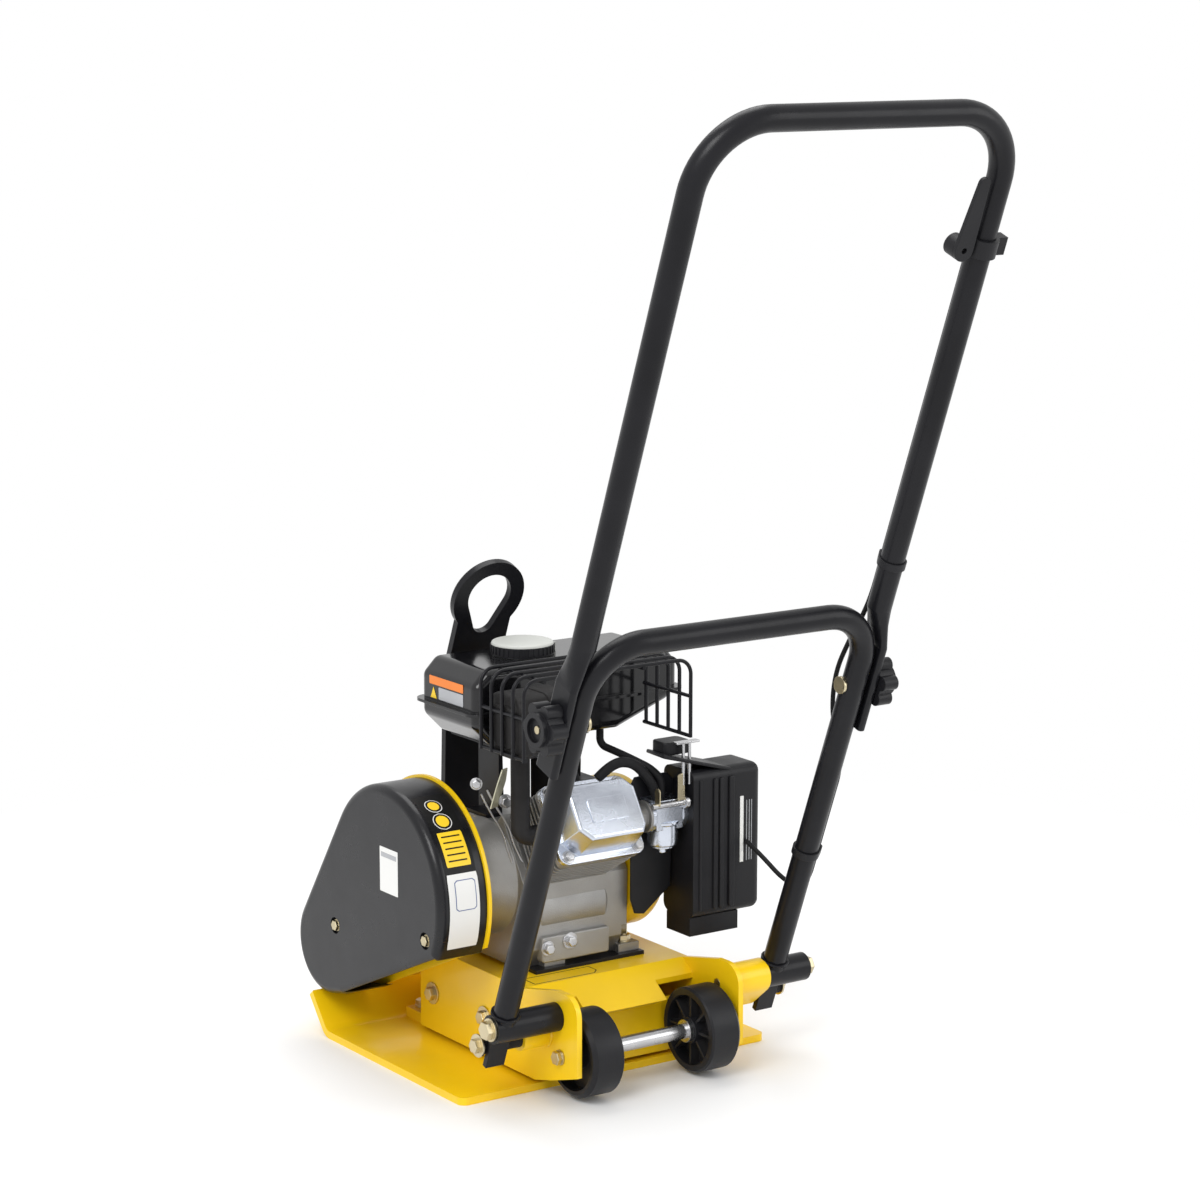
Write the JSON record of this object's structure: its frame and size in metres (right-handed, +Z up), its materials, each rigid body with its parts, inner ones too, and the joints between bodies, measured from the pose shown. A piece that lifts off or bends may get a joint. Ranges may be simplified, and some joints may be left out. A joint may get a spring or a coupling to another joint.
{
  "type": "plate compactor",
  "caption": "Walk-behind vibrating plate compactor with a petrol engine, belt-driven exciter, transport wheels and a two-piece folding handle.",
  "frame": {"origin": "middle of the sole plate's flat underside, on the ground", "axes": "+Z up, +Y the way the machine travels, +X the machine's right-hand side"},
  "size_m": [0.4339, 0.7475, 1.0165],
  "materials": {
    "yellow_paint": "satin",
    "black_paint": "gloss",
    "black_plastic": "matte",
    "black_rubber": "matte",
    "cast_aluminium": "cast",
    "bright_aluminium": "polished",
    "cast_iron": "machined",
    "steel": "brushed",
    "zinc": "zinc plated",
    "paper": "pleated",
    "grey_plastic": "matte"
  },
  "bodies": {
    "machine": {"air_filter_case": "black_plastic", "air_filter_cover": "black_plastic", "air_filter_element": "paper", "ball_bearings": "steel", "base_plate": "yellow_paint", "belt_back_plate": "yellow_paint", "belt_cover": "black_plastic", "carburettor": "bright_aluminium", "crankcase": "cast_aluminium", "cylinder": "cast_aluminium", "cylinder_head": "cast_aluminium", "engine_deck": "yellow_paint", "engine_plate": "black_paint", "exciter_covers": "yellow_paint", "exciter_housing": "yellow_paint", "exhaust_pipe": "black_paint", "fan_shroud": "yellow_paint", "frame_bolts": "zinc", "fuel_hose": "black_rubber", "fuel_tank": "black_paint", "guard_spacer": "black_paint", "handle_stops": "black_rubber", "ignition_coil": "black_plastic", "lifting_eye": "black_paint", "muffler": "black_paint", "muffler_guard": "black_paint", "piston": "cast_aluminium", "recoil_cover": "black_plastic", "rubber_mounts": "black_rubber", "side_cover": "cast_aluminium", "spark_plug": "steel", "spark_plug_lead": "black_rubber", "tank_bracket": "black_paint", "throttle_cable_engine": "black_plastic", "v_belt": "black_rubber", "valve_cover": "bright_aluminium", "wheel_axle": "steel"},
    "lower_handle": {"lower_handle": "black_paint", "handle_bolts": "steel", "throttle_cable_lower": "black_plastic", "throttle_cable_fold": "black_plastic", "cable_clip_lower": "black_plastic"},
    "upper_handle": {"upper_handle": "black_paint", "throttle_clamp": "steel", "cable_clip_upper": "black_plastic", "throttle_cable_upper": "black_plastic"},
    "knob_left": {"star_knob_left": "black_plastic"},
    "knob_right": {"star_knob_right": "black_plastic"},
    "throttle_lever": {"throttle_lever": "steel"},
    "wheel_left": {"wheel_left": "black_plastic"},
    "wheel_right": {"wheel_right": "black_plastic"},
    "crank": {"crankshaft": "steel", "flywheel": "cast_iron", "clutch_hub": "cast_iron", "clutch_shoes": "steel"},
    "drum": {"clutch_drum": "cast_iron"},
    "exciter_rotor": {"exciter_shaft": "steel", "exciter_pulley": "cast_iron"},
    "fuel_cap": {"fuel_cap": "grey_plastic"},
    "recoil_handle": {"recoil_handle": "black_plastic"}
  },
  "joints": [
    {"name": "handle_tilt", "type": "hinge", "parent": "machine", "child": "lower_handle", "pos_m": [0, -0.18, 0.09], "axis": [-1, 0, 0], "range_deg": [0, 28], "deforming": ["throttle_cable_engine"]},
    {"name": "upper_fold", "type": "hinge", "parent": "lower_handle", "child": "upper_handle", "pos_m": [0, -0.3085, 0.4247], "axis": [-1, 0, 0], "range_deg": [0, 110], "deforming": ["throttle_cable_fold"]},
    {"name": "knob_left_turn", "type": "hinge", "parent": "lower_handle", "child": "knob_left", "pos_m": [-0.2, -0.3085, 0.4247], "axis": [-1, 0, 0], "continuous": true},
    {"name": "knob_right_turn", "type": "hinge", "parent": "lower_handle", "child": "knob_right", "pos_m": [0.2, -0.3085, 0.4247], "axis": [1, 0, 0], "continuous": true},
    {"name": "throttle_lever_swing", "type": "hinge", "parent": "upper_handle", "child": "throttle_lever", "pos_m": [0.149, -0.48308, 0.87719], "axis": [0, -0.933, -0.3599], "range_deg": [0, 75]},
    {"name": "wheel_left_spin", "type": "hinge", "parent": "machine", "child": "wheel_left", "pos_m": [-0.0735, -0.188, 0.049], "axis": [1, 0, 0], "continuous": true},
    {"name": "wheel_right_spin", "type": "hinge", "parent": "machine", "child": "wheel_right", "pos_m": [0.0735, -0.188, 0.049], "axis": [1, 0, 0], "continuous": true},
    {"name": "crank_spin", "type": "hinge", "parent": "machine", "child": "crank", "pos_m": [0, -0.008, 0.2], "axis": [1, 0, 0], "continuous": true},
    {"name": "drum_spin", "type": "hinge", "parent": "machine", "child": "drum", "pos_m": [-0.17, -0.008, 0.2], "axis": [1, 0, 0], "continuous": true},
    {"name": "exciter_spin", "type": "hinge", "parent": "machine", "child": "exciter_rotor", "pos_m": [0, 0.14, 0.096], "axis": [1, 0, 0], "continuous": true},
    {"name": "fuel_cap_turn", "type": "hinge", "parent": "machine", "child": "fuel_cap", "pos_m": [-0.026, 0, 0.43], "axis": [0, 0, 1], "range_deg": [0, 90]},
    {"name": "starter_pull", "type": "slide", "parent": "machine", "child": "recoil_handle", "axis": [1, 0, 0], "range_m": [0, 0.5], "stiffness_N_per_m": 20}
  ],
  "couplings": [
    {"joint": "exciter_spin", "follows": "drum_spin", "ratio": 1.3846}
  ]
}
